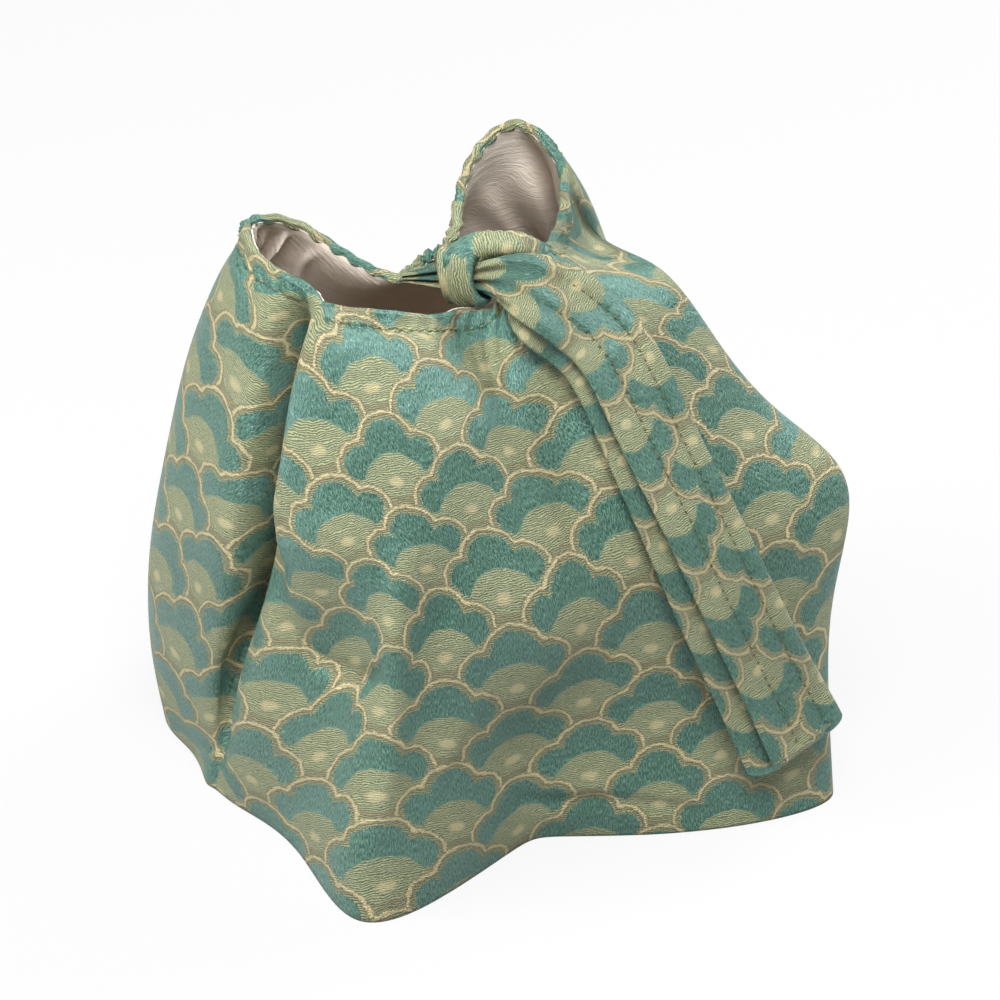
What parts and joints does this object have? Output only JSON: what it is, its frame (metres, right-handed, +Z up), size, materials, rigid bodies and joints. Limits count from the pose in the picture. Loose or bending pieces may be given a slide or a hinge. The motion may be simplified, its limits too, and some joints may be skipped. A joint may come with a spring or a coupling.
{
  "type": "knot pouch with wrist strap",
  "caption": "Lined teal and gold brocade knot pouch, about 20 cm wide, its mouth pinched in the middle and a folded wrist strap hanging down its front.",
  "frame": {"origin": "on the floor, under the middle of the bag's width and depth", "axes": "+Z up; +X to the viewer's right with the pouch's front, where the strap hangs, facing -Y"},
  "size_m": [0.1967, 0.174, 0.1803],
  "materials": {
    "brocade": "woven satin and gold brocade",
    "strap_brocade": "woven satin and gold brocade, pressed and stitched",
    "lining_cotton": "plain woven cotton"
  },
  "bodies": {
    "root": {"outer_bag": "brocade", "lining": "lining_cotton", "closing_loop": "brocade", "wrist_strap": "strap_brocade"}
  },
  "joints": []
}
